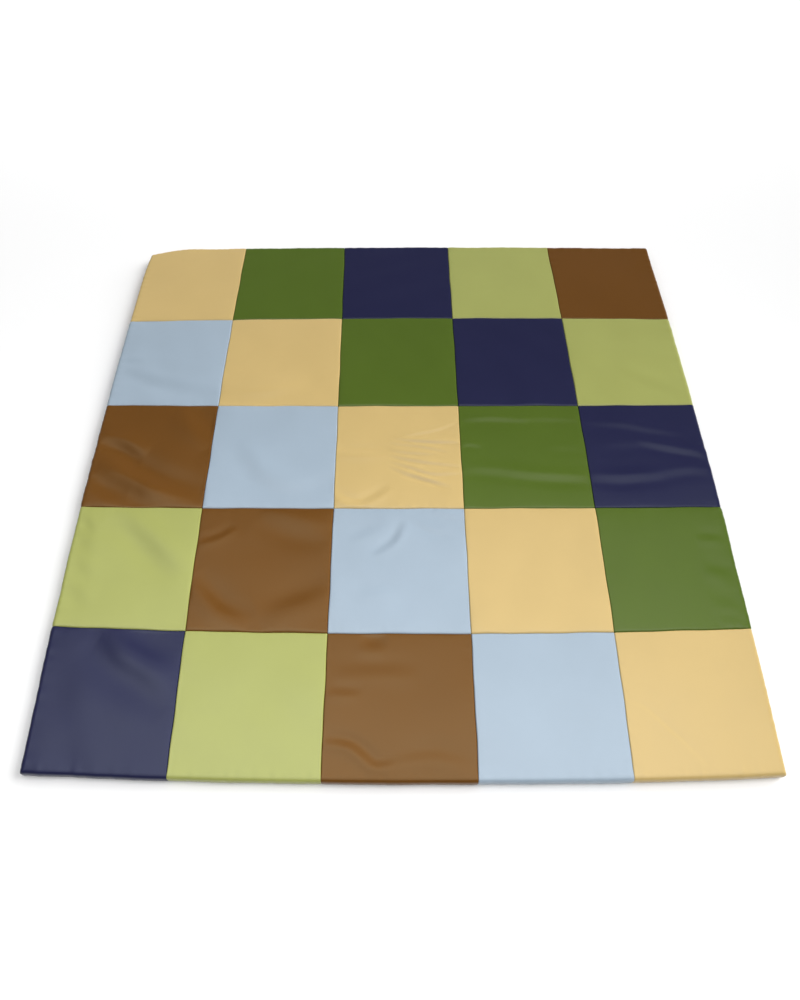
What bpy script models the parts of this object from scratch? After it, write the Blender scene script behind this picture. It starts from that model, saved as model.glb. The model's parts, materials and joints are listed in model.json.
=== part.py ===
# Square padded play mat: one filled body, and over it a vinyl cover pieced from five rows of five squares.
# Metres, +Z up. The mat lies on the floor at z = 0 with its front edge towards -Y and its middle at the origin.
# Places on the mat are given in squares: s counts to the right from the left edge, t to the front from the back.
import math
from collections import namedtuple

import bmesh
import bpy

# Driving sizes
SIDE = 1.460
THICKNESS = 0.025
SQUARES = 5
RIM_RADIUS = 0.011
COVER_THICKNESS = 0.0012
COVER_CLEARANCE = 0.0004
COVER_FOOT = 0.002
SEAM_CLEARANCE = 0.0006

# Steps of the rounded rim, and how far apart its rows lie in the flat pattern, in squares
RIM_STEPS = 3
RIM_ROW = 0.01

# How the top falls away from a square's crown to its seams
Fall = namedtuple("Fall", "from_seam depth")
FALLS = [
    Fall(from_seam=0.000, depth=0.0026),
    Fall(from_seam=0.035, depth=0.0011),
    Fall(from_seam=0.250, depth=0.0002),
    Fall(from_seam=0.500, depth=0.0000),
]

# How far each edge and seam strays from an even grid: at its two ends and, over the chord, halfway along
Stray = namedtuple("Stray", "start end bow")
RUNNING_FORWARD = [
    Stray(start=0.0115, end=0.0185, bow=-0.0145),
    Stray(start=-0.0040, end=0.0040, bow=-0.0110),
    Stray(start=-0.0090, end=-0.0010, bow=0.0015),
    Stray(start=-0.0020, end=0.0010, bow=0.0030),
    Stray(start=-0.0050, end=-0.0020, bow=0.0125),
    Stray(start=-0.0070, end=-0.0090, bow=0.0135),
]
RUNNING_ACROSS = [
    Stray(start=-0.0030, end=-0.0060, bow=0.0070),
    Stray(start=0.0010, end=0.0010, bow=0.0080),
    Stray(start=0.0080, end=0.0010, bow=-0.0030),
    Stray(start=0.0070, end=0.0000, bow=-0.0040),
    Stray(start=0.0130, end=0.0020, bow=-0.0135),
    Stray(start=0.0165, end=0.0065, bow=-0.0145),
]

# Corners that are drawn in or pushed out, fading over a reach in squares
Pull = namedtuple("Pull", "s t right back reach")
PULLS = [
    Pull(s=0, t=0, right=0.0030, back=-0.0190, reach=0.45),
    Pull(s=0, t=5, right=0.0040, back=0.0030, reach=0.30),
    Pull(s=5, t=5, right=-0.0030, back=0.0020, reach=0.30),
]

# Soft folds that stand up in the cover: ends in parts of their square, from its back left corner
Fold = namedtuple("Fold", "row column x0 y0 x1 y1 sag height half_width")
FOLDS = [
    Fold(row=2, column=0, x0=0.05, y0=0.30, x1=0.55, y1=0.62, sag=0.04, height=0.0030, half_width=0.030),
    Fold(row=2, column=0, x0=0.05, y0=0.66, x1=0.80, y1=0.93, sag=0.06, height=0.0035, half_width=0.032),
    Fold(row=2, column=3, x0=0.04, y0=0.13, x1=0.96, y1=0.16, sag=0.01, height=0.0040, half_width=0.022),
    Fold(row=2, column=3, x0=0.04, y0=0.64, x1=0.96, y1=0.74, sag=0.03, height=0.0040, half_width=0.026),
    Fold(row=2, column=4, x0=0.04, y0=0.14, x1=0.94, y1=0.30, sag=0.02, height=0.0035, half_width=0.022),
    Fold(row=2, column=4, x0=0.42, y0=0.40, x1=0.96, y1=0.52, sag=0.01, height=0.0040, half_width=0.020),
    Fold(row=2, column=4, x0=0.04, y0=0.75, x1=0.96, y1=0.68, sag=0.03, height=0.0040, half_width=0.024),
    Fold(row=3, column=0, x0=0.16, y0=0.14, x1=0.70, y1=0.62, sag=-0.03, height=0.0030, half_width=0.030),
    Fold(row=3, column=1, x0=0.10, y0=0.84, x1=0.94, y1=0.90, sag=0.05, height=0.0035, half_width=0.032),
    Fold(row=4, column=0, x0=0.32, y0=0.16, x1=0.88, y1=0.44, sag=0.02, height=0.0035, half_width=0.034),
]

# Squares with folds are divided more finely: even steps to the right and to the front
Fineness = namedtuple("Fineness", "across forward")
PLAIN = Fineness(across=4, forward=4)
FINER = {
    (2, 0): Fineness(across=10, forward=10),
    (2, 3): Fineness(across=6, forward=15),
    (2, 4): Fineness(across=6, forward=15),
    (3, 0): Fineness(across=10, forward=10),
    (3, 1): Fineness(across=8, forward=10),
    (4, 0): Fineness(across=10, forward=10),
}

# The six colours run in this order to the right, and each row starts one place later than the row behind it
Vinyl = namedtuple("Vinyl", "name colour")
VINYLS = [
    Vinyl(name="tan_vinyl", colour=(0.66, 0.50, 0.22)),
    Vinyl(name="dark_green_vinyl", colour=(0.10, 0.165, 0.033)),
    Vinyl(name="navy_vinyl", colour=(0.033, 0.036, 0.095)),
    Vinyl(name="light_green_vinyl", colour=(0.43, 0.45, 0.15)),
    Vinyl(name="brown_vinyl", colour=(0.20, 0.10, 0.037)),
    Vinyl(name="light_blue_vinyl", colour=(0.40, 0.52, 0.69)),
]
BACK = Vinyl(name="back_vinyl", colour=(0.16, 0.08, 0.03))


def blend(first, last, part):
    return first + (last - first) * part


def edge_or_seam(strays, number, part):
    # One line of the grid at a part of its length: its place on the even grid and what it strays by
    stray = strays[number]
    return blend(stray.start, stray.end, part) + stray.bow * 4 * part * (1 - part)


def grid_place(s, t):
    # Place in the plan. The outermost lines are drawn in by the rim's radius, where the rim starts to turn down
    column = min(int(s), SQUARES - 1)
    row = min(int(t), SQUARES - 1)
    xs = [(k / SQUARES - 0.5) * SIDE + edge_or_seam(RUNNING_FORWARD, k, t / SQUARES) for k in (column, column + 1)]
    ys = [(0.5 - k / SQUARES) * SIDE + edge_or_seam(RUNNING_ACROSS, k, s / SQUARES) for k in (row, row + 1)]
    xs[0] += RIM_RADIUS if column == 0 else 0
    xs[1] -= RIM_RADIUS if column == SQUARES - 1 else 0
    ys[0] -= RIM_RADIUS if row == 0 else 0
    ys[1] += RIM_RADIUS if row == SQUARES - 1 else 0
    x = blend(xs[0], xs[1], s - column)
    y = blend(ys[0], ys[1], t - row)
    for pull in PULLS:
        strength = max(0.0, 1 - math.hypot(s - pull.s, t - pull.t) / pull.reach) ** 2
        x += pull.right * strength
        y += pull.back * strength
    return x, y


def fall_from_crown(place):
    # Depth below the crown, by the distance to the nearest seam
    distance = min(abs(place - seam) for seam in range(1, SQUARES))
    for near, far in zip(FALLS, FALLS[1:]):
        if distance <= far.from_seam:
            return blend(near.depth, far.depth, (distance - near.from_seam) / (far.from_seam - near.from_seam))
    return FALLS[-1].depth


def fold_height(s, t):
    # Height of the cover's folds at one place
    square = SIDE / SQUARES
    height = 0.0
    for fold in FOLDS:
        x = s - fold.column
        y = t - fold.row
        if not (0 < x < 1 and 0 < y < 1):
            continue
        run_x, run_y = fold.x1 - fold.x0, fold.y1 - fold.y0
        length = math.hypot(run_x, run_y)
        along = ((x - fold.x0) * run_x + (y - fold.y0) * run_y) / length ** 2
        if not 0 < along < 1:
            continue
        aside = ((x - fold.x0) * -run_y + (y - fold.y0) * run_x) / length
        offset = (aside - fold.sag * 4 * along * (1 - along)) * square
        if abs(offset) < fold.half_width:
            ridge = math.cos(math.pi / 2 * offset / fold.half_width) ** 2
            height += fold.height * ridge * math.sin(math.pi * along) ** 0.5
    return height


def rim_heading(out_s, out_t):
    # Direction in the plan that the rim faces: straight out on an edge, turning through a right angle at a corner
    wide, deep = abs(out_s), abs(out_t)
    if wide >= deep:
        turn = math.pi / 4 * deep / wide
    else:
        turn = math.pi / 2 - math.pi / 4 * wide / deep
    return math.copysign(math.cos(turn), out_s), math.copysign(math.sin(turn), -out_t)


def mat_point(s, t, depth, foot, with_folds):
    # Lays one point of the flat pattern on the mat, sunk below its outer surface by a depth
    inner_s = min(max(s, 0), SQUARES)
    inner_t = min(max(t, 0), SQUARES)
    x, y = grid_place(inner_s, inner_t)
    sunk = depth + fall_from_crown(inner_s) + fall_from_crown(inner_t)
    if with_folds:
        sunk -= fold_height(s, t)
    out_s = (s - inner_s) / RIM_ROW
    out_t = (t - inner_t) / RIM_ROW
    row = max(abs(out_s), abs(out_t))
    if row < 0.5:
        return x, y, THICKNESS - sunk
    lean = min(row / RIM_STEPS, 1) * math.pi / 2
    radius = RIM_RADIUS - sunk
    right, back = rim_heading(out_s, out_t)
    z = THICKNESS - RIM_RADIUS + radius * math.cos(lean)
    if row > RIM_STEPS + 0.5:
        z = foot
    return x + radius * math.sin(lean) * right, y + radius * math.sin(lean) * back, z


def division(first, last, steps, inset):
    # Lines of the flat pattern from one seam or edge to the next, with shoulders beside the seams
    shoulder = FALLS[1].from_seam
    lines = [first + (last - first) * k / steps for k in range(steps + 1)]
    rim = [RIM_ROW * (k + 1) for k in range(RIM_STEPS + 1)]
    if first == 0:
        lines = [-out for out in reversed(rim)] + lines
    else:
        lines = [first + inset, first + shoulder] + lines[1:]
    if last == SQUARES:
        lines = lines + [SQUARES + out for out in rim]
    else:
        lines = lines[:-1] + [last - shoulder, last - inset]
    return lines


def grid_in_pattern(s_lines, t_lines, depth):
    # Flat grid on the given lines, its height standing for the depth below the mat's outer surface
    bm = bmesh.new()
    across, forward = len(s_lines) - 1, len(t_lines) - 1
    bmesh.ops.create_grid(bm, x_segments=across, y_segments=forward, size=0.5)
    for vert in bm.verts:
        s = s_lines[round((vert.co.x + 0.5) * across)]
        t = t_lines[round((0.5 - vert.co.y) * forward)]
        vert.co = (s, t, depth)
    return bm


def vinyl_material(vinyl):
    material = bpy.data.materials.get(vinyl.name)
    if material is None:
        material = bpy.data.materials.new(vinyl.name)
        material.use_nodes = True
        shader = material.node_tree.nodes["Principled BSDF"]
        shader.inputs["Base Color"].default_value = (*vinyl.colour, 1)
        shader.inputs["Roughness"].default_value = 0.45
        shader.inputs["Metallic"].default_value = 0.0
    return material


def finish(bm, name, vinyl, middle):
    bmesh.ops.recalc_face_normals(bm, faces=bm.faces)
    mesh = bpy.data.meshes.new(name)
    bm.to_mesh(mesh)
    bm.free()
    mesh.materials.append(vinyl_material(vinyl))
    piece = bpy.data.objects.new(name, mesh)
    piece.location = (-middle[0], -middle[1], 0)
    bpy.context.collection.objects.link(piece)


def filled_body():
    # The filled body inside the cover, closed by a flat underside. Returns the middle of its plan
    lines = []
    for k in range(SQUARES):
        lines += division(k, k + 1, PLAIN.across, 0)[:None if k == SQUARES - 1 else -1]
    bm = grid_in_pattern(lines, lines, COVER_THICKNESS + COVER_CLEARANCE)
    for vert in bm.verts:
        vert.co = mat_point(vert.co.x, vert.co.y, vert.co.z, 0, False)
    rim = [edge for edge in bm.edges if edge.is_boundary]
    bmesh.ops.contextual_create(bm, geom=rim)
    xs = [vert.co.x for vert in bm.verts]
    ys = [vert.co.y for vert in bm.verts]
    middle = ((min(xs) + max(xs)) / 2, (min(ys) + max(ys)) / 2)
    finish(bm, "filled_body", BACK, middle)
    return middle


def cover_square(row, column, middle):
    # One square of the cover. Along the mat's edges it turns down over the rim, nearly to the floor
    fineness = FINER.get((row, column), PLAIN)
    inset = SEAM_CLEARANCE / 2 / (SIDE / SQUARES)
    s_lines = division(column, column + 1, fineness.across, inset)
    t_lines = division(row, row + 1, fineness.forward, inset)
    bm = grid_in_pattern(s_lines, t_lines, 0)
    under = bmesh.ops.extrude_face_region(bm, geom=bm.faces[:], use_keep_orig=True)
    for item in under["geom"]:
        if isinstance(item, bmesh.types.BMVert):
            item.co.z = COVER_THICKNESS
    for vert in bm.verts:
        vert.co = mat_point(vert.co.x, vert.co.y, vert.co.z, COVER_FOOT, True)
    vinyl = VINYLS[(column - row) % len(VINYLS)]
    finish(bm, f"square_row{row + 1}_column{column + 1}", vinyl, middle)


for old in list(bpy.data.objects):
    bpy.data.objects.remove(old, do_unlink=True)

middle = filled_body()
for row in range(SQUARES):
    for column in range(SQUARES):
        cover_square(row, column, middle)
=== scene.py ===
# Padded play mat: a vinyl cover pieced from five rows of five squares, over one filled body, on a pale floor.
# Metres, +Z up, front edge towards -Y. Places on the mat are counted in squares: s to the right from the left
# edge, t to the front from the back edge. Rows count from the back, columns from the left, both from 0.
import json
import math

import bmesh
import bpy
import numpy as np
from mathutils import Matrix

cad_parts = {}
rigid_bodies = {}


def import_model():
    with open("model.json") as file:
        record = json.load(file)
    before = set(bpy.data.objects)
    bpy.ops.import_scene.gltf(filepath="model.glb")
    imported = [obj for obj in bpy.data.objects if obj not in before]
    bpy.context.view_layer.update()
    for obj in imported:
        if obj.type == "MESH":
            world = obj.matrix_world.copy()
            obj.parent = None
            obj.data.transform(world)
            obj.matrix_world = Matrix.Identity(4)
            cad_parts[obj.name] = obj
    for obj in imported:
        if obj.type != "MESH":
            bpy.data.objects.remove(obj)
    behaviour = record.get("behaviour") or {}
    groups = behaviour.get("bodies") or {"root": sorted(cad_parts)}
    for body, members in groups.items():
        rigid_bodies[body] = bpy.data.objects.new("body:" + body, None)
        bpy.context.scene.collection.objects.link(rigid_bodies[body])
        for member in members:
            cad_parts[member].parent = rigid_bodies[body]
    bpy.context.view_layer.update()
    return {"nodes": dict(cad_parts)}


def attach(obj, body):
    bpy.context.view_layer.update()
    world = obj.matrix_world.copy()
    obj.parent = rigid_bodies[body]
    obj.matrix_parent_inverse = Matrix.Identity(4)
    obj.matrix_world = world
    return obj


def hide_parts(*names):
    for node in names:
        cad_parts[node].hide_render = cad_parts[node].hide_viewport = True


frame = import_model()
print("frame loaded:", len(frame["nodes"]), "nodes")


# The mat's plan, as the solids have it
plan = {
    "side": 1.460,
    "thickness": 0.025,
    "squares": 5,
    "rimRadius": 0.011,
    # How far each edge and seam strays from an even grid: at its back or left end, at its other end, and
    # halfway over the chord. Those that run forward stray to the right, those that run across to the back
    "runningForward": [
        (0.0115, 0.0185, -0.0145),
        (-0.0040, 0.0040, -0.0110),
        (-0.0090, -0.0010, 0.0015),
        (-0.0020, 0.0010, 0.0030),
        (-0.0050, -0.0020, 0.0125),
        (-0.0070, -0.0090, 0.0135),
    ],
    "runningAcross": [
        (-0.0030, -0.0060, 0.0070),
        (0.0010, 0.0010, 0.0080),
        (0.0080, 0.0010, -0.0030),
        (0.0070, 0.0000, -0.0040),
        (0.0130, 0.0020, -0.0135),
        (0.0165, 0.0065, -0.0145),
    ],
    # Corners drawn in or pushed out: s, t, to the right, to the back, reach in squares
    "pulls": [
        (0, 0, 0.0030, -0.0190, 0.45),
        (0, 5, 0.0005, 0.0000, 0.30),
        (5, 5, 0.0005, 0.0010, 0.30),
    ],
    "cornerSharpness": {(0, 0): 2.3, (0, 5): 7.0, (5, 0): 4.0, (5, 5): 8.0},    # 2 is a round corner
    "seamWander": 0.0004,
    "wanderWaves": [(47, 2.4, 1.0), (91, 5.1, 0.7)],    # over a seam's length, from seam to seam, and share
}
squareSide = plan["side"] / plan["squares"]
lastSeam = plan["squares"]


def strayAt(table, line, part):
    start, end, bow = np.array(table)[line].T
    straight = start + (end - start) * part + bow * 4 * part * (1 - part)
    inner = (line > 0) & (line < lastSeam)
    wander = sum(share * np.sin(part * turns + line * shift) for turns, shift, share in plan["wanderWaves"])
    return straight + np.where(inner, plan["seamWander"] * wander, 0)


def planPlace(s, t):
    # Place in the plan, before the middle is taken off. The rim starts where the outermost lines are
    radius = plan["rimRadius"]
    column = np.clip(np.floor(s), 0, lastSeam - 1).astype(int)
    row = np.clip(np.floor(t), 0, lastSeam - 1).astype(int)

    def lineAcross(line):
        drawnIn = np.where(line == 0, radius, 0) - np.where(line == lastSeam, radius, 0)
        even = (line / lastSeam - 0.5) * plan["side"]
        return even + strayAt(plan["runningForward"], line, t / lastSeam) + drawnIn

    def lineForward(line):
        drawnIn = np.where(line == lastSeam, radius, 0) - np.where(line == 0, radius, 0)
        even = (0.5 - line / lastSeam) * plan["side"]
        return even + strayAt(plan["runningAcross"], line, s / lastSeam) + drawnIn

    x = lineAcross(column) + (lineAcross(column + 1) - lineAcross(column)) * (s - column)
    y = lineForward(row) + (lineForward(row + 1) - lineForward(row)) * (t - row)
    for pullS, pullT, right, back, reach in plan["pulls"]:
        strength = np.maximum(0, 1 - np.hypot(s - pullS, t - pullT) / reach) ** 2
        x = x + right * strength
        y = y + back * strength
    return x, y


def rimHeading(outS, outT, s, t):
    # The way the rim faces in the plan: straight out on an edge, turning through a right angle at a corner
    wide, deep = np.abs(outS), np.abs(outT)
    larger = np.maximum(np.maximum(wide, deep), 1e-9)
    turn = np.where(wide >= deep, math.pi / 4 * deep / larger, math.pi / 2 - math.pi / 4 * wide / larger)
    right, back = np.cos(turn), np.sin(turn)
    reach = np.ones_like(turn)
    for (cornerS, cornerT), sharpness in plan["cornerSharpness"].items():
        near = (np.abs(s - cornerS) < 0.5) & (np.abs(t - cornerT) < 0.5)
        squared = (right ** sharpness + back ** sharpness) ** (-1 / sharpness)
        reach = np.where(near, squared, reach)
    return right * reach * np.sign(outS), back * reach * -np.sign(outT)


def outlineMiddle():
    # The middle of the mat's plan, which the solids have at the origin
    steps = np.linspace(0, lastSeam, 81)
    none = np.zeros_like(steps)
    radius = plan["rimRadius"] - cover["thickness"] - cover["clearance"]
    left = planPlace(none, steps)[0].min() - radius
    right = planPlace(none + lastSeam, steps)[0].max() + radius
    back = planPlace(steps, none)[1].max() + radius
    front = planPlace(steps, none + lastSeam)[1].min() - radius
    return (left + right) / 2, (back + front) / 2


# The cover: how it turns into its seams, puckers, lies uneven and creases
cover = {
    "thickness": 0.0012,
    "clearance": 0.0006,        # to the filled body
    "seamGap": 0.0003,          # between two squares
    "rollDepth": 0.0028,        # of a square's edge where it turns into a seam
    "rollWidth": 0.0026,
    "frontRollWidth": 0.0050,   # the same for the edge towards the front
    "turning": 0.0015,          # what shows of the turned-in edge, down inside the seam
    "shoulder": 0.0007,         # how far the padding is drawn down beside a seam
    "shoulderReach": 0.011,
    "crown": 0.0002,            # and how far from there to the middle of the square
    "crownReach": 0.055,
    "seamRunOut": 0.018,        # how far from the rim a seam starts to get shallower
    "seamLeft": 0.30,           # and how much of it is left there
    "rimFullness": 2.9,         # 2 is a round rim
    "pucker": 0.00022,
    "puckerReach": 0.010,
    "puckerLengths": (0.048, 0.014),
    "unevenness": 0.00045,
    "unevennessLengths": (0.260, 0.085),
    "seamHold": 0.75,           # how much of all that the sewing holds down at a seam
    "seamHoldReach": 0.005,
    "rimEvens": 0.45,           # how much of the puckers the rim evens out, and twice that of the creases
    "creaseFading": 0.8,        # towards its ends: 0 not at all, 1 as a sine
    "step": 0.0042,             # between the lines of the mesh
    "fineStep": 0.0026,         # in the squares with fine wrinkles
    "fineSquares": [(2, 2)],
    "linesAtEdge": [0, 0.0020, 0.0045, 0.0080, 0.0120, 0.0160],
    "linesBesideSeam": [0.0044, 0.0064, 0.0088, 0.0120, 0.0160],    # beyond the roll
    "rollAngles": [0, 14, 28, 42, 56, 72, 90],                      # of the lines on the roll
    "turnedDown": 0.031,        # flat length that a square at an edge has over the rim
}

# The rim below its rounded top, as distance out from the rim's radius and height above the floor
rimSide = [(0.0002, 0.0118), (0.0003, 0.0094), (0.0002, 0.0070), (0.0000, 0.0050), (-0.0003, 0.0034),
           (-0.0007, 0.0021), (-0.0012, 0.0013), (-0.0018, 0.0008)]
rimTurns = 7        # steps of the rounded top
rimRows = rimTurns + len(rimSide)

# Creases: square (row, column), how far the cover rises behind the crease and dips in front of it in mm,
# ridge along it in mm, half width in mm, and its course in parts of the square, to the right and to the front
creases = [
    ((1, 0), 1.5, 0.0, 19, [(-0.02, 0.59), (0.24, 0.68), (0.50, 0.77), (1.02, 0.85)]),
    ((1, 0), 0.62, 0.0, 12, [(-0.02, 0.49), (0.10, 0.49), (0.24, 0.50)]),
    ((1, 1), 2.4, 0.0, 22, [(-0.02, 0.91), (0.30, 0.90), (0.52, 0.86), (0.76, 0.80)]),
    ((1, 4), 0.88, 0.0, 18, [(0.38, 0.56), (0.67, 0.74), (1.02, 0.92)]),
    ((2, 0), 3.2, 0.0, 16, [(-0.02, 0.35), (0.22, 0.42), (0.42, 0.53)]),
    ((2, 0), -4.8, 0.0, 26, [(-0.02, 0.43), (0.22, 0.59), (0.44, 0.72), (0.66, 0.82), (1.02, 0.94)]),
    ((2, 0), 2.7, 0.9, 22, [(0.02, 0.73), (0.22, 0.74), (0.40, 0.81), (0.58, 0.90), (0.94, 0.96)]),
    ((2, 0), -1.7, 0.0, 19, [(-0.02, 0.76), (0.13, 0.875), (0.30, 0.96)]),
    ((2, 0), -3.0, 0.0, 26, [(0.69, 0.02), (0.84, 0.19), (1.02, 0.38)]),
    ((2, 1), 1.6, 0.0, 22, [(0.17, 0.36), (0.32, 0.58), (0.43, 0.73), (0.58, 0.80), (0.74, 0.80),
                            (1.02, 0.68)]),
    ((2, 2), 1.4, 0.0, 5, [(0.50, 0.33), (0.80, 0.26), (1.02, 0.16)]),
    ((2, 2), 2.3, 0.5, 5, [(0.45, 0.34), (0.66, 0.37), (1.02, 0.38)]),
    ((2, 2), 1.4, 0.0, 5, [(0.41, 0.38), (0.66, 0.42), (0.92, 0.48)]),
    ((2, 2), 1.2, 0.0, 4, [(0.41, 0.455), (0.62, 0.49), (0.84, 0.50)]),
    ((2, 2), 1.6, 0.0, 5, [(0.40, 0.50), (0.66, 0.57), (1.02, 0.615)]),
    ((2, 2), 1.6, 0.0, 5, [(0.41, 0.56), (0.62, 0.64), (0.77, 0.69), (1.02, 0.68)]),
    ((2, 2), 1.6, 0.0, 5, [(0.41, 0.61), (0.66, 0.72), (0.92, 0.80)]),
    ((2, 2), 1.0, 0.0, 5, [(0.46, 0.67), (0.71, 0.75), (0.92, 0.83)]),
    ((2, 2), -1.6, 0.0, 12, [(-0.02, 0.47), (0.22, 0.48), (0.46, 0.48)]),
    ((2, 2), -1.8, 0.0, 10, [(-0.02, 0.85), (0.09, 0.93), (0.20, 0.95), (0.31, 0.90), (0.45, 0.79)]),
    ((2, 3), 1.6, 0.7, 10, [(-0.02, 0.16), (0.22, 0.144), (0.35, 0.15), (0.60, 0.168)]),
    ((2, 3), 1.0, 0.3, 10, [(0.45, 0.158), (0.88, 0.155), (1.02, 0.21)]),
    ((2, 3), 1.0, 0.3, 7, [(-0.02, 0.43), (0.07, 0.405), (0.18, 0.43)]),
    ((2, 3), 0.5, 0.0, 12, [(0.66, 0.45), (1.00, 0.44)]),
    ((2, 3), 1.1, 0.3, 13, [(-0.02, 0.65), (0.22, 0.66), (0.50, 0.705)]),
    ((2, 3), 2.0, 0.7, 12, [(0.35, 0.69), (0.66, 0.72), (0.88, 0.73), (1.02, 0.74)]),
    ((2, 4), 1.1, 0.3, 12, [(-0.02, 0.19), (0.36, 0.22), (0.58, 0.27), (0.92, 0.33)]),
    ((2, 4), 2.0, 0.6, 11, [(0.44, 0.38), (0.65, 0.44), (0.80, 0.476), (0.915, 0.50), (1.04, 0.56)]),
    ((2, 4), 0.5, 0.0, 13, [(0.10, 0.44), (0.34, 0.42), (0.58, 0.42)]),
    ((2, 4), 1.8, 0.6, 13, [(-0.04, 0.72), (0.21, 0.74), (0.43, 0.73), (0.65, 0.71)]),
    ((2, 4), 1.1, 0.3, 13, [(0.50, 0.72), (0.87, 0.67), (1.02, 0.71)]),
    ((3, 0), 2.5, 0.0, 24, [(0.26, 0.05), (0.43, 0.17), (0.58, 0.29), (0.72, 0.41), (0.92, 0.58)]),
    ((3, 0), 0.72, 0.0, 12, [(0.00, 0.08), (0.07, 0.14), (0.16, 0.24)]),
    ((3, 0), 0.78, 0.0, 18, [(0.00, 0.22), (0.10, 0.33), (0.20, 0.45)]),
    ((3, 0), 0.78, 0.0, 18, [(0.00, 0.40), (0.11, 0.52), (0.22, 0.64)]),
    ((3, 0), 0.72, 0.0, 18, [(0.00, 0.64), (0.12, 0.74), (0.22, 0.84)]),
    ((3, 1), -1.3, 0.0, 9, [(-0.02, 0.31), (0.14, 0.26), (0.28, 0.16)]),
    ((3, 1), 2.7, 0.9, 25, [(0.44, 0.06), (0.72, 0.16), (0.98, 0.24)]),
    ((3, 1), -2.7, 0.0, 18, [(0.00, 0.58), (0.15, 0.74), (0.26, 0.84), (0.46, 0.92)]),
    ((3, 1), -2.6, 0.0, 25, [(0.50, 0.87), (0.70, 0.79), (0.85, 0.73), (1.02, 0.64)]),
    ((3, 2), -1.9, -0.5, 10, [(0.29, 0.40), (0.41, 0.32), (0.48, 0.25), (0.54, 0.10)]),
    ((3, 2), -0.76, 0.0, 13, [(0.12, 0.28), (0.25, 0.21), (0.40, 0.15)]),
    ((3, 2), -0.76, 0.0, 14, [(0.17, 0.71), (0.32, 0.68), (0.49, 0.68)]),
    ((3, 2), 0.76, 0.0, 8, [(0.58, 0.10), (0.76, 0.20), (0.92, 0.22)]),
    ((3, 2), 0.63, 0.0, 8, [(0.72, 0.03), (1.02, 0.11)]),
    ((3, 4), -1.0, 0.0, 11, [(0.76, 0.27), (0.88, 0.27), (1.00, 0.28)]),
    ((3, 4), -1.2, 0.0, 16, [(0.76, 0.53), (0.88, 0.55), (1.00, 0.60)]),
    ((3, 4), -1.0, 0.0, 16, [(0.76, 0.79), (0.88, 0.80), (1.00, 0.81)]),
    ((3, 4), -0.73, 0.0, 10, [(0.80, 0.93), (0.90, 0.93), (1.00, 0.94)]),
    ((4, 0), -2.4, 0.0, 28, [(0.38, 0.02), (0.63, 0.13), (0.79, 0.20), (1.00, 0.23)]),
    ((4, 0), 2.2, 0.0, 28, [(0.30, 0.03), (0.54, 0.24), (0.72, 0.35), (0.98, 0.53)]),
    ((4, 2), -1.6, -1.3, 16, [(0.22, 0.06), (0.32, 0.08), (0.42, 0.08)]),
    ((4, 2), -1.0, 0.0, 16, [(0.05, 0.28), (0.32, 0.27), (0.64, 0.28)]),
    ((4, 2), -0.88, 0.0, 10, [(0.00, 0.43), (0.25, 0.44)]),
    ((4, 2), -1.8, 0.0, 10, [(-0.02, 0.76), (0.17, 0.79), (0.26, 0.85), (0.35, 0.92), (0.48, 0.90)]),
    ((4, 2), -1.0, 0.0, 15, [(0.36, 0.92), (0.70, 0.86), (1.02, 0.93)]),
    ((4, 4), -0.53, -0.31, 4, [(-0.02, 0.49), (0.13, 0.555), (0.27, 0.69), (0.40, 0.83), (0.52, 0.98)]),
]


def smoothCourse(points, steps=7):
    # Catmull-Rom curve through a crease's points
    points = np.array(points)
    points = np.vstack([2 * points[0] - points[1], points, 2 * points[-1] - points[-2]])
    course = []
    for before, start, end, after in zip(points, points[1:], points[2:], points[3:]):
        squared = 2 * before - 5 * start + 4 * end - after
        cubed = 3 * start - before - 3 * end + after
        for u in np.arange(steps) / steps:
            course.append(0.5 * (2 * start + (end - before) * u + squared * u ** 2 + cubed * u ** 3))
    return np.array(course + [points[-2]])


def creaseHeight(row, column, x, y):
    # Height that the creases of one square add, at places in parts of the square
    height = np.zeros_like(x)
    for square, fall, ridge, halfWidth, points in creases:
        if square != (row, column):
            continue
        course = smoothCourse(points) * squareSide
        runs = np.diff(course, axis=0)
        lengths = np.hypot(*runs.T)
        reached = np.concatenate([[0], np.cumsum(lengths)])
        nearest = np.full_like(x, np.inf)
        along, aside = np.zeros_like(x), np.zeros_like(x)
        for start, run, length, before in zip(course, runs, lengths, reached):
            offX, offY = x * squareSide - start[0], y * squareSide - start[1]
            part = np.clip((offX * run[0] + offY * run[1]) / length ** 2, 0, 1)
            distance = np.hypot(offX - part * run[0], offY - part * run[1])
            closer = distance < nearest
            side = np.where(offY * run[0] - offX * run[1] < 0, -1, 1)
            nearest = np.where(closer, distance, nearest)
            aside = np.where(closer, distance * side, aside)
            along = np.where(closer, (before + part * length) / reached[-1], along)
        across = aside / (halfWidth / 1000)
        hill = np.exp(-0.5 * across ** 2)
        fading = np.sin(np.pi * np.clip(along, 0, 1)) ** cover["creaseFading"]
        height += fading * hill * (ridge - fall * across * math.exp(0.5)) / 1000    # whole at one half width
    return height


def waves(seed, longest, shortest, count):
    # Directions, wave numbers and phases of seeded waves between two lengths
    draw = np.random.default_rng(seed)
    numbers = 2 * np.pi / draw.uniform(shortest, longest, count)
    return draw.uniform(0, 2 * np.pi, count), numbers, draw.uniform(0, 2 * np.pi, count)


def unevenness(seed, x, y):
    height = np.zeros_like(x)
    for heading, number, phase in zip(*waves(seed, *cover["unevennessLengths"], 7)):
        height += np.cos((x * math.cos(heading) + y * math.sin(heading)) * number + phase)
    return height / 2.6     # about 1 at the highest


def pucker(seed, along):
    height = np.zeros_like(along)
    _, numbers, phases = waves(seed, *cover["puckerLengths"], 6)
    for number, phase in zip(numbers, phases):
        height += np.cos(along * number + phase)
    return height / 2.2     # about 1 at the highest


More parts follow.
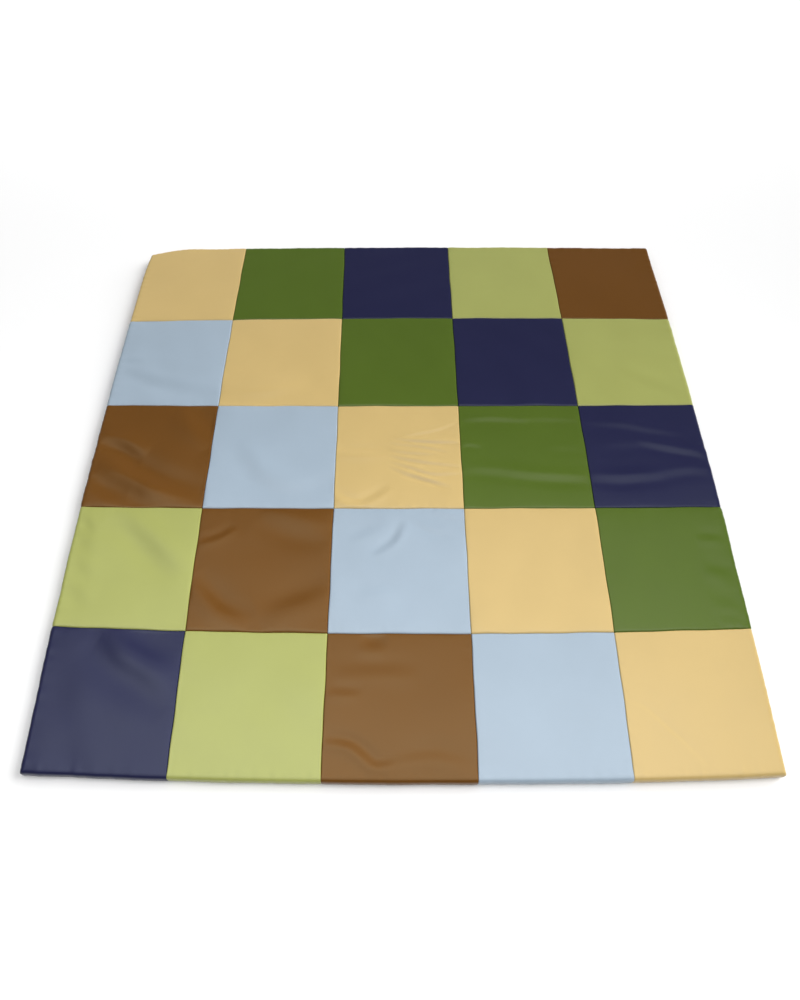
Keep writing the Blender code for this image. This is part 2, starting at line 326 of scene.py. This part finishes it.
def seamFall(distance, width, roll):
    # Depth beside a seam: the square's edge rolling into it, and the padding drawn down
    depth = cover["shoulder"] * np.exp(-distance / cover["shoulderReach"])
    depth += cover["crown"] * np.exp(-distance / cover["crownReach"])
    if roll:
        inside = np.clip(1 - distance / width, 0, 1)
        depth += cover["rollDepth"] * (1 - np.sqrt(1 - inside ** 2))
    else:
        depth += body["valleyDepth"] * np.exp(-(distance / body["valleyWidth"]) ** 2)
    return depth


def seamAtRim(place, out):
    # A seam gets shallower where it runs out over the rim
    inside = np.minimum(place, lastSeam - place) * squareSide
    inside = inside - plan["rimRadius"] * np.minimum(np.abs(out) / rimTurns, 1)
    part = np.clip((cover["seamRunOut"] - inside) / (cover["seamRunOut"] + plan["rimRadius"]), 0, 1)
    return 1 - (1 - cover["seamLeft"]) * part * part * (3 - 2 * part)


def surface(s, t, outS, outT, depth, roll, uneven, rims):
    # Lays places of the flat pattern on the mat, sunk below its outer surface
    x, y = planPlace(s, t)
    sunk = depth.copy()
    seams = np.arange(1, lastSeam)
    for place, other, out, front in ((s, t, outT, "rollWidth"), (t, s, outS, "frontRollWidth")):
        distance = np.abs(place[:, None] - seams[None]).min(axis=1) * squareSide
        width = np.where(place % 1 > 0.5, cover[front], cover["rollWidth"])
        sunk += seamFall(distance, width, roll) * seamAtRim(other, out)
    sunk -= uneven
    row = np.maximum(np.abs(outS), np.abs(outT))
    right, back = rimHeading(outS, outT, s, t)
    lean = np.minimum(row / rimTurns, 1) * math.pi / 2
    power = cover["rimFullness"]
    radius = (plan["rimRadius"] - sunk) * (np.cos(lean) ** power + np.sin(lean) ** power) ** (-1 / power)
    z = plan["thickness"] - plan["rimRadius"] + radius * np.cos(lean)
    reach = radius * np.sin(lean)
    for k, (out, height) in enumerate(rims):
        below = row > rimTurns + k + 0.5
        z = np.where(below, height, z)
        reach = np.where(below, radius + out, reach)
    middleX, middleY = matMiddle
    return np.stack([x + reach * right - middleX, y + reach * back - middleY, z], axis=1)


def besideSeam(width):
    # Distances of the mesh's lines from a seam, closest where the edge rolls
    turned = [width * (1 - math.cos(math.radians(angle))) for angle in cover["rollAngles"]]
    beyond = [d for d in cover["linesBesideSeam"] if d > 1.2 * width]      # clear of the roll
    return [cover["seamGap"] / 2 + d for d in turned + beyond]


def lines(first, last, step, farWidth):
    # Lines of the mesh from one seam or edge to the next: place, row out on the rim, depth inside the seam
    near = cover["linesAtEdge"] if first == 0 else besideSeam(cover["rollWidth"])
    far = cover["linesAtEdge"] if last == lastSeam else besideSeam(farWidth)
    inner = squareSide - near[-1] - far[-1]
    count = round(inner / step)
    places = [d / squareSide for d in near[:-1]]
    places += [(near[-1] + inner * k / count) / squareSide for k in range(count + 1)]
    places += [1 - d / squareSide for d in reversed(far[:-1])]
    rows = [(first + place, 0, 0) for place in places]
    if first == 0:
        rows = [(first, -k, 0) for k in range(rimRows, 0, -1)] + rows
    else:
        rows = [(rows[0][0], 0, cover["turning"])] + rows
    if last == lastSeam:
        rows = rows + [(last, k, 0) for k in range(1, rimRows + 1)]
    else:
        rows = rows + [(rows[-1][0], 0, cover["turning"])]
    return np.array(rows, float)


def flatPattern(name, sLines, tLines, closed):
    # A flat grid mesh on those lines. A closed one has a second layer under the first, at height -1
    bm = bmesh.new()
    bmesh.ops.create_grid(bm, x_segments=len(sLines) - 1, y_segments=len(tLines) - 1, size=0.5)
    if closed:
        under = bmesh.ops.extrude_face_region(bm, geom=bm.faces[:], use_keep_orig=True)
        layer = [v for v in under["geom"] if isinstance(v, bmesh.types.BMVert)]
        bmesh.ops.translate(bm, vec=(0, 0, -1), verts=layer)
        bmesh.ops.recalc_face_normals(bm, faces=bm.faces[:])    # the extrusion leaves them pointing inwards
    for face in bm.faces:
        face.smooth = True
    mesh = bpy.data.meshes.new(name)
    bm.to_mesh(mesh)
    bm.free()
    places = np.empty(len(mesh.vertices) * 3)
    mesh.vertices.foreach_get("co", places)
    places = places.reshape(-1, 3)
    across = np.rint((places[:, 0] + 0.5) * (len(sLines) - 1)).astype(int)
    forward = np.rint((0.5 - places[:, 1]) * (len(tLines) - 1)).astype(int)
    return mesh, sLines[across], tLines[forward], places[:, 2] < -0.5


def place(mesh, points):
    mesh.vertices.foreach_set("co", points.ravel())
    mesh.update()
    piece = bpy.data.objects.new(mesh.name, mesh)
    bpy.context.collection.objects.link(piece)
    return piece


def coverSquare(row, column):
    step = cover["fineStep"] if (row, column) in cover["fineSquares"] else cover["step"]
    mesh, sPart, tPart, _ = flatPattern(f"cover_row{row + 1}_column{column + 1}",
                                        lines(column, column + 1, step, cover["rollWidth"]),
                                        lines(row, row + 1, step, cover["frontRollWidth"]), False)
    (s, outS, insideS), (t, outT, insideT) = sPart.T, tPart.T
    x, y = s - column, t - row
    seed = 100 * (row + 1) + 10 * (column + 1)
    fromLeft, fromRight = x * squareSide, (1 - x) * squareSide
    fromBack, fromFront = y * squareSide, (1 - y) * squareSide
    rimRow = np.maximum(np.abs(outS), np.abs(outT))
    onRim = 1 - cover["rimEvens"] * np.clip(rimRow / rimTurns, 0, 1)
    uneven = creaseHeight(row, column, x, y) * (2 * onRim - 1)
    uneven += cover["unevenness"] * unevenness(seed, x * squareSide, y * squareSide)
    for k, (distance, along) in enumerate([(fromLeft, y), (fromRight, y), (fromBack, x), (fromFront, x)]):
        fading = np.exp(-distance / cover["puckerReach"]) * onRim
        uneven += cover["pucker"] * fading * pucker(seed + 1 + k, along * squareSide)
    settled = 1.0
    for distance, inner in ((fromLeft, column > 0), (fromRight, column < lastSeam - 1),
                            (fromBack, row > 0), (fromFront, row < lastSeam - 1)):
        if inner:
            settled = settled * (1 - np.exp(-(distance / cover["seamHoldReach"]) ** 2))
    uneven = uneven * (1 - cover["seamHold"] + cover["seamHold"] * settled)
    points = surface(s, t, outS, outT, insideS + insideT, True, uneven, rimSide)
    piece = place(mesh, points)
    wall = piece.modifiers.new("vinylThickness", "SOLIDIFY")
    wall.thickness = cover["thickness"]
    wall.offset = -1
    return piece


# The filled body under the cover. Only its back shows
body = {
    "steps": 18,                # of the mesh across the middle of a square
    "linesAtSeam": [0, 0.0015, 0.0030, 0.0048, 0.0075, 0.0120, 0.0200],
    "linesAtEdge": [0, 0.010, 0.020],
    "valleyDepth": 0.0050,      # of its channel under a seam
    "valleyWidth": 0.0038,
    "hollowReach": 0.007,       # around a place, where creases are looked up
    "hollowSteps": [-1, -0.5, 0, 0.5, 1],
    "foot": [(-0.0030, 0.0008), (-0.0042, 0.0003)],     # last two rows of its rim, inside the cover's
    "backEdge": 0.0032,         # from the plan's outermost lines out to the edge of the flat back
}


def hollows(s, t):
    # How far the filling gives way under the creases, looked up a little around each place
    lowest = np.zeros_like(s)
    column = np.clip(np.floor(s), 0, lastSeam - 1)
    row = np.clip(np.floor(t), 0, lastSeam - 1)
    around = np.array(body["hollowSteps"]) * body["hollowReach"] / squareSide
    for square in sorted({crease[0] for crease in creases}):
        inside = (row == square[0]) & (column == square[1])
        for right in around:
            for front in around:
                x, y = s[inside] - square[1] + right, t[inside] - square[0] + front
                lowest[inside] = np.minimum(lowest[inside], creaseHeight(*square, x, y))
    return lowest


def filledBody():
    rows = [(0, -k, 0) for k in range(rimRows, 0, -1)]
    for k in range(lastSeam):
        near = body["linesAtEdge" if k == 0 else "linesAtSeam"]
        far = body["linesAtEdge" if k == lastSeam - 1 else "linesAtSeam"]
        inner = squareSide - near[-1] - far[-1]
        places = near[:-1] + [near[-1] + inner * n / body["steps"] for n in range(body["steps"] + 1)]
        places += [squareSide - d for d in far[-2:0:-1]]
        rows += [(k + place / squareSide, 0, 0) for place in places]
    rows += [(lastSeam, k, 0) for k in range(rimRows + 1)]
    grid = np.array(rows, float)
    mesh, sPart, tPart, under = flatPattern("fillingAndBack", grid, grid, True)
    (s, outS, _), (t, outT, _) = sPart.T, tPart.T
    depth = np.full_like(s, cover["thickness"] + cover["clearance"])
    foot = rimSide[:-2] + body["foot"]
    points = surface(s, t, outS, outT, depth, False, hollows(s, t), foot)
    x, y = planPlace(s, t)
    right, back = rimHeading(outS, outT, s, t)
    reach = np.maximum(np.abs(outS), np.abs(outT)) / rimRows * body["backEdge"]
    middleX, middleY = matMiddle
    flat = np.stack([x + reach * right - middleX, y + reach * back - middleY, np.zeros_like(x)], axis=1)
    points[under] = flat[under]
    return place(mesh, points)


class Wire:
    # One socket of a material's nodes. Arithmetic on it adds Math nodes
    def __init__(self, finish, socket):
        self.finish = finish
        self.socket = socket

    def maths(self, operation, first, second):
        return self.finish.node("ShaderNodeMath", {"operation": operation}, {0: first, 1: second})

    def __add__(self, other):
        return self.maths("ADD", self, other)

    def __radd__(self, other):
        return self.maths("ADD", other, self)

    def __sub__(self, other):
        return self.maths("SUBTRACT", self, other)

    def __rsub__(self, other):
        return self.maths("SUBTRACT", other, self)

    def __mul__(self, other):
        return self.maths("MULTIPLY", self, other)

    def __rmul__(self, other):
        return self.maths("MULTIPLY", other, self)


class Finish:
    # A material and its nodes
    def __init__(self, name):
        self.material = bpy.data.materials.new(name)
        self.material.use_nodes = True
        self.tree = self.material.node_tree
        self.tree.nodes.clear()

    def node(self, kind, settings=None, inputs=None, out=0):
        made = self.tree.nodes.new(kind)
        for name, value in (settings or {}).items():
            setattr(made, name, value)
        for name, value in (inputs or {}).items():
            if isinstance(value, Wire):
                self.tree.links.new(value.socket, made.inputs[name])
            else:
                made.inputs[name].default_value = value
        return Wire(self, made.outputs[out]) if made.outputs else made


# The vinyls: slot, colour, strength of the gloss and its tint
vinyl = {
    "tan": {"slot": "tan_vinyl", "colour": (0.525, 0.378, 0.145),
            "gloss": 0.50, "sheen": (1.0, 1.0, 1.0)},
    "darkGreen": {"slot": "dark_green_vinyl", "colour": (0.061, 0.104, 0.006),
                  "gloss": 0.42, "sheen": (1.0, 1.0, 0.85)},
    "navy": {"slot": "navy_vinyl", "colour": (0.0100, 0.0105, 0.044),
             "gloss": 0.32, "sheen": (0.85, 0.94, 1.0)},
    "lightGreen": {"slot": "light_green_vinyl", "colour": (0.310, 0.330, 0.088),
                   "gloss": 0.50, "sheen": (1.0, 1.0, 1.0)},
    "brown": {"slot": "brown_vinyl", "colour": (0.116, 0.043, 0.004),
              "gloss": 0.42, "sheen": (1.0, 0.92, 0.62)},
    "lightBlue": {"slot": "light_blue_vinyl", "colour": (0.300, 0.375, 0.450),
                  "gloss": 0.50, "sheen": (1.0, 1.0, 1.0)},
    "back": {"slot": "back_vinyl", "colour": (0.100, 0.042, 0.012),
             "gloss": 0.50, "sheen": (1.0, 0.92, 0.62)},
}
squareOrder = ["tan", "darkGreen", "navy", "lightGreen", "brown", "lightBlue"]
vinylLook = {
    "roughness": 0.34,
    "roughnessRange": 0.10,
    "cloudScale": 9.0,          # clouds of colour and gloss, a hand's breadth across
    "cloudDepth": 0.05,
    "grainScale": 950.0,        # pebbled grain of about a millimetre
    "grainHeight": 0.00004,
    "grainRoughness": 0.04,     # how much rougher the grain's hollows are
    "rippleScale": 160.0,       # soft orange peel under the grain
    "rippleHeight": 0.00006,
}


def vinylFinish(name):
    look = vinylLook
    finish = Finish(name + "Vinyl")
    position = finish.node("ShaderNodeTexCoord", out="Object")
    clouds = finish.node("ShaderNodeTexNoise", {}, {
        "Vector": position, "Scale": look["cloudScale"], "Detail": 3.0, "Roughness": 0.55})
    ripple = finish.node("ShaderNodeTexNoise", {}, {
        "Vector": position, "Scale": look["rippleScale"], "Detail": 2.0})
    grain = finish.node("ShaderNodeTexVoronoi", {"feature": "SMOOTH_F1"}, {
        "Vector": position, "Scale": look["grainScale"]})
    colour = vinyl[name]["colour"]
    deep = tuple(c * (1 - look["cloudDepth"]) for c in colour) + (1,)
    pale = tuple(c * (1 + look["cloudDepth"]) for c in colour) + (1,)
    tone = finish.node("ShaderNodeMix", {"data_type": "RGBA"}, {0: clouds, 6: deep, 7: pale}, out=2)
    # Clouds lie about 0.5 and the grain about 0.4
    roughness = look["roughness"] + (clouds - 0.5) * look["roughnessRange"]
    roughness = roughness + (grain - 0.4) * look["grainRoughness"]
    relief = ripple * look["rippleHeight"] - grain * look["grainHeight"]
    bump = finish.node("ShaderNodeBump", {}, {"Height": relief, "Distance": 1.0, "Strength": 1.0})
    shader = finish.node("ShaderNodeBsdfPrincipled", {}, {
        "Base Color": tone, "Roughness": roughness, "Normal": bump,
        "Specular IOR Level": vinyl[name]["gloss"], "Specular Tint": (*vinyl[name]["sheen"], 1)})
    finish.node("ShaderNodeOutputMaterial", {}, {"Surface": shader})
    return finish.material


studio = {
    "cameraPlace": (0.0040, -0.9414, 1.4060),   # over the plan before its middle is taken off
    "cameraTurn": (30.584, 0.162, -0.189),
    "lens": 25.234,
    "floorColour": (0.90, 0.90, 0.90),
    "floorReach": 15,
    "worldStrength": 0.22,
    "keyStrength": 3.5,
    "keyAngle": 50,
    "keyFrom": (0.90, 0.42, 0.50),      # from the right and a little behind, low
    "topPower": 21,                     # a long softbox over the front of the mat
    "topSize": (3.0, 1.2),
    "topPlace": (0.0, -0.80, 1.4),
    "cardPower": 22,                    # a card that only the gloss sees, for the sheen on the front rows
    "cardSize": (3.4, 1.4),
    "cardPlace": (0.0, 0.02, 1.6),
    "farPower": 100,                    # over the floor behind the mat
    "farSize": (7.0, 2.2),
    "farPlace": (0.0, 3.4, 2.0),
}


def makeFloor():
    bm = bmesh.new()
    bmesh.ops.create_grid(bm, x_segments=4, y_segments=4, size=studio["floorReach"])
    mesh = bpy.data.meshes.new("floor")
    bm.to_mesh(mesh)
    bm.free()
    floor = bpy.data.objects.new("floor", mesh)
    bpy.context.collection.objects.link(floor)
    finish = Finish("paleFloor")
    shader = finish.node("ShaderNodeBsdfPrincipled", {}, {
        "Base Color": (*studio["floorColour"], 1), "Roughness": 0.9, "Specular IOR Level": 0.1})
    finish.node("ShaderNodeOutputMaterial", {}, {"Surface": shader})
    mesh.materials.append(finish.material)


def makeLights():
    def softbox(name):
        light = bpy.data.lights.new(name, "AREA")
        light.energy = studio[name + "Power"]
        light.shape = "RECTANGLE"
        light.size, light.size_y = studio[name + "Size"]
        box = bpy.data.objects.new(name, light)
        box.location = studio[name + "Place"]
        box.visible_camera = False
        bpy.context.collection.objects.link(box)
        return box

    def wideLight(name):
        light = bpy.data.lights.new(name, "SUN")
        light.energy = studio[name + "Strength"]
        light.angle = math.radians(studio[name + "Angle"])
        lamp = bpy.data.objects.new(name, light)
        right, back, up = studio[name + "From"]
        lamp.rotation_euler = (0, math.atan2(math.hypot(right, back), up), math.atan2(back, right))
        lamp.visible_glossy = False         # it only lights and lays no sheen on the mat
        bpy.context.collection.objects.link(lamp)

    world = bpy.data.worlds.new("studio")
    bpy.context.scene.world = world
    world.use_nodes = True
    background = world.node_tree.nodes["Background"]
    background.inputs["Color"].default_value = (1, 1, 1, 1)
    background.inputs["Strength"].default_value = studio["worldStrength"]
    wideLight("key")
    softbox("top")
    softbox("card").visible_diffuse = False
    softbox("far").visible_glossy = False


def makeCamera():
    lens = bpy.data.cameras.new("camera")
    lens.lens = studio["lens"]
    camera = bpy.data.objects.new("camera", lens)
    right, back, up = studio["cameraPlace"]
    camera.location = (right - matMiddle[0], back - matMiddle[1], up)
    camera.rotation_euler = [math.radians(turn) for turn in studio["cameraTurn"]]
    bpy.context.collection.objects.link(camera)
    bpy.context.scene.camera = camera


matMiddle = outlineMiddle()
print("plan middle:", [round(v, 5) for v in matMiddle])

finishes = {name: vinylFinish(name) for name in vinyl}

filling = filledBody()
filling.data.materials.append(finishes["back"])
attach(filling, "root")
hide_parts("filled_body")
print("filled body:", len(filling.data.polygons), "faces")

for row in range(lastSeam):
    for column in range(lastSeam):
        name = squareOrder[(column - row) % len(squareOrder)]
        square = coverSquare(row, column)
        square.data.materials.append(finishes[name])
        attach(square, "root")
        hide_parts(f"square_row{row + 1}_column{column + 1}")
print("cover squares:", lastSeam ** 2)

makeFloor()
makeLights()
makeCamera()
bpy.context.scene.view_settings.view_transform = "Standard"
print("studio ready")
